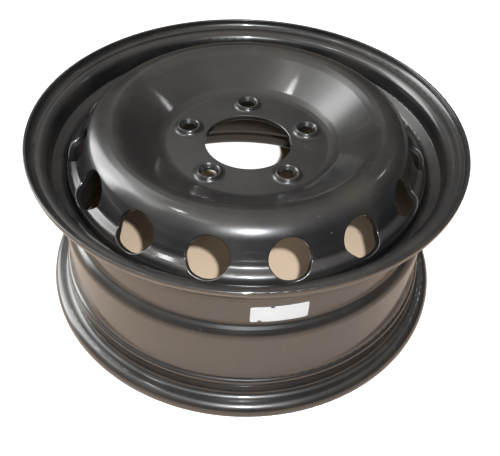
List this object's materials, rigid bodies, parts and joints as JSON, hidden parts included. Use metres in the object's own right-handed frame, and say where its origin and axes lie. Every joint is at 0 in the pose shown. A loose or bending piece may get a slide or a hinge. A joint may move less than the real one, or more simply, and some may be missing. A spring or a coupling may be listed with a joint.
{
  "type": "pressed steel wheel",
  "caption": "Black pressed-steel van wheel: deep drop-centre rim with J flanges and a dished, welded-in disc with raised conical bolt seats and a ring of round vents.",
  "frame": {"origin": "on the wheel's axis, in the plane of the inner flange edge that the wheel lies on", "axes": "+Z along the wheel's axis, out through the outer face; +Y through one bolt hole; +X to the right"},
  "size_m": [0.4402, 0.4401, 0.1999],
  "materials": {
    "black_coat": "satin",
    "label_paper": "matte"
  },
  "bodies": {
    "root": {"rim": "black_coat", "disc": "black_coat", "weld_beads": "black_coat", "paper_label": "label_paper"}
  },
  "joints": []
}
